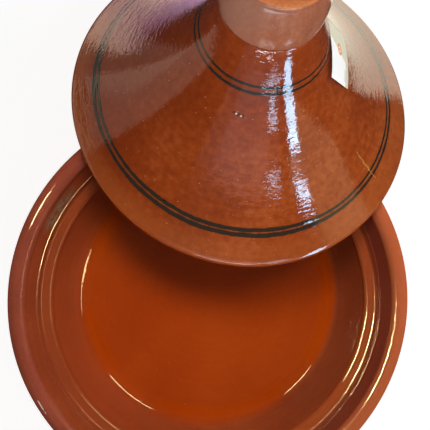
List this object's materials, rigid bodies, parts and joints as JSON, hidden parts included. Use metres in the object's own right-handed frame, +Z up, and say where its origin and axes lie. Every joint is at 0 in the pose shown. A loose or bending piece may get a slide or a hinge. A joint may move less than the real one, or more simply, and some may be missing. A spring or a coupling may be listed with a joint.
{
  "type": "tagine pot",
  "caption": "Glazed clay cooking dish with a ledge inside its rolled rim, and a flared conical lid with a cupped knob, leaning against the dish.",
  "frame": {"origin": "middle of the dish's flat base, on the surface it stands on", "axes": "+Z up through the dish, +Y towards the side where the lid leans, +X to the right of that"},
  "size_m": [0.31, 0.4385, 0.192],
  "materials": {
    "dish_glaze": "clear gloss glaze over red-brown clay",
    "lid_glaze": "clear gloss glaze over red-brown clay, with thin dark green brushed bands",
    "knob_glaze": "gloss glaze with a bare orange clay lip",
    "label_paper": "plain coated paper with a small coloured mark"
  },
  "bodies": {
    "dish": {"dish": "dish_glaze"},
    "lid": {"lid_cone": "lid_glaze", "lid_knob": "knob_glaze", "paper_label": "label_paper"}
  },
  "joints": [
    {"name": "lid_lift", "type": "slide", "parent": "dish", "child": "lid", "axis": [0, 0, 1], "range_m": [0, 0.15]}
  ]
}
